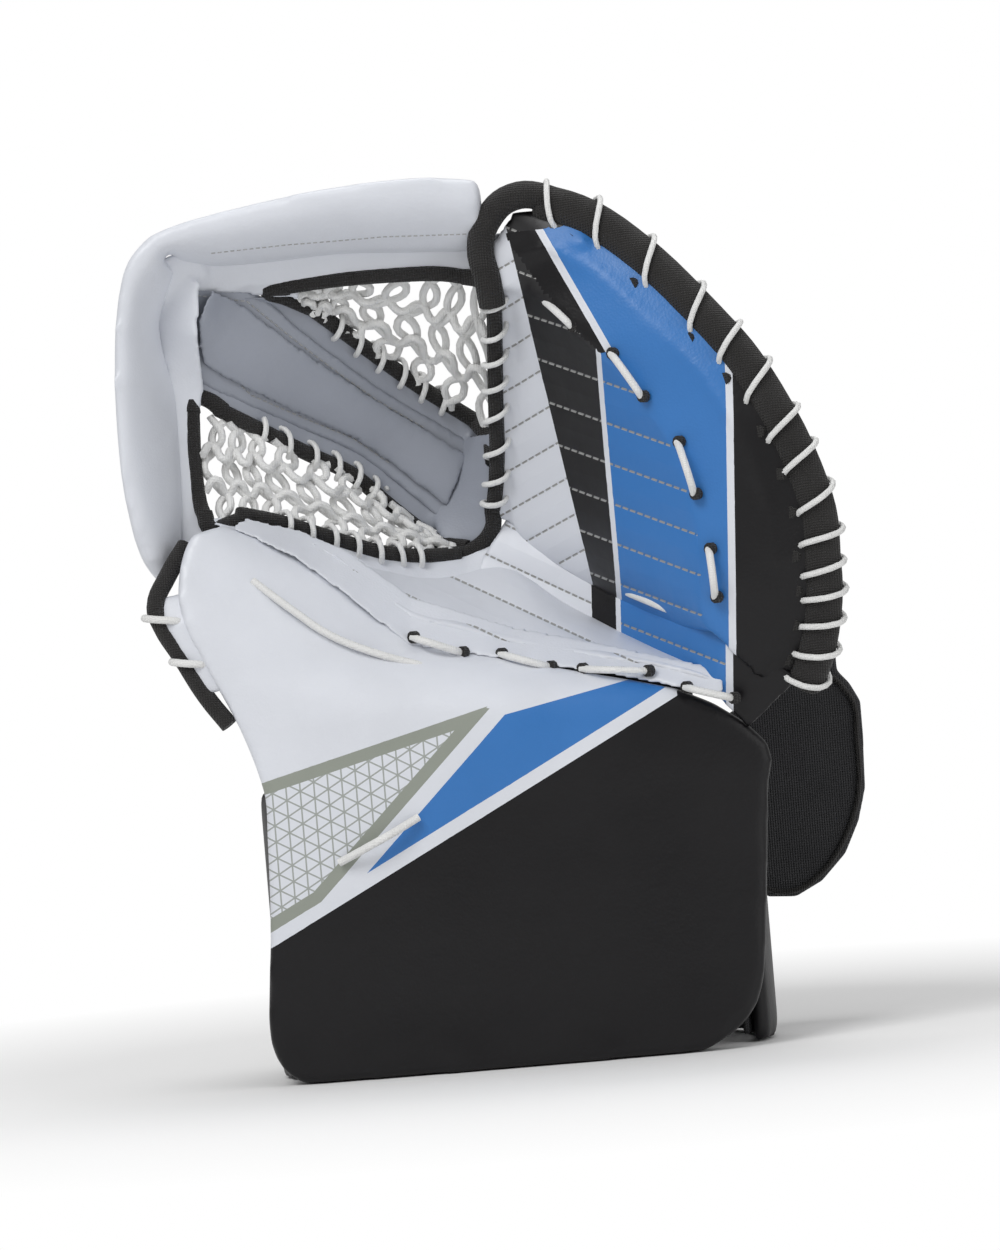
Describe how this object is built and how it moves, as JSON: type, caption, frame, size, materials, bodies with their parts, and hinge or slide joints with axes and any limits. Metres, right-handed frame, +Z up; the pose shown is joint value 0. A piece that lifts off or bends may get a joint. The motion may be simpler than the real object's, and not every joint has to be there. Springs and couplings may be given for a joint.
{
  "type": "ice hockey goalie catch glove",
  "caption": "Goalie catch glove with padded thumb and cuff, quilted folding finger side, laced open T pocket, rolled laced rim and a wrist strap flap; stands on its cuff.",
  "frame": {"origin": "middle of the lower edge of the wall that wraps the back of the wrist, on the plane the glove stands on", "axes": "+Z up from cuff to finger tips, +X towards the finger side, +Y from the palm to the back of the hand"},
  "size_m": [0.306, 0.1545, 0.3701],
  "materials": {
    "white_vinyl": "satin",
    "grey_vinyl": "satin",
    "blue_vinyl": "satin",
    "black_vinyl": "satin",
    "webbing": "matte",
    "lace": "matte",
    "foam": "matte",
    "board": "matte",
    "lining": "matte"
  },
  "bodies": {
    "thumb_side": {"thumb_cuff_skin": "white_vinyl", "thumb_cuff_foam": "foam", "thumb_cuff_board": "board", "thumb_cuff_lining": "lining", "thumb_palm_leather": "white_vinyl", "thumb_edge_binding": "webbing", "cuff_back_shell": "black_vinyl", "wrist_liner": "lining", "backhand_pad": "black_vinyl", "hand_liner": "lining", "tee_top_bar": "white_vinyl", "tee_left_bar": "white_vinyl", "tee_stem": "grey_vinyl", "tee_stem_pad": "grey_vinyl", "window_binding_upper": "webbing", "window_binding_lower": "webbing", "pocket_lace_upper": "lace", "pocket_lace_lower": "lace", "window_lace_upper": "lace", "window_lace_lower": "lace", "thumb_lace": "lace", "cuff_lace": "lace", "strap_anchor": "webbing", "strap_loop_patch": "webbing"},
    "finger_side": {"finger_face_skin": "blue_vinyl", "finger_palm_leather": "white_vinyl", "finger_foam": "foam", "finger_board": "board", "finger_back_panel": "black_vinyl", "finger_rim_binding": "webbing", "finger_rim_lace": "lace", "finger_window_binding": "webbing", "finger_window_lace": "lace", "finger_tie_lace": "lace"},
    "strap": {"wrist_strap": "webbing", "strap_hook_patch": "webbing"}
  },
  "joints": [
    {"name": "palm_break", "type": "hinge", "parent": "thumb_side", "child": "finger_side", "pos_m": [0.042, -0.072, 0.186], "axis": [0.6682, -0.6181, -0.4141], "range_deg": [0, 25], "deforming": ["tee_top_bar", "tee_stem", "tee_stem_pad", "window_binding_upper", "window_binding_lower", "pocket_lace_upper", "pocket_lace_lower", "window_lace_upper", "window_lace_lower"]},
    {"name": "strap_hinge", "type": "hinge", "parent": "thumb_side", "child": "strap", "pos_m": [0.087, 0.01, 0.098], "axis": [0, 0, 1], "range_deg": [0, 150]}
  ]
}
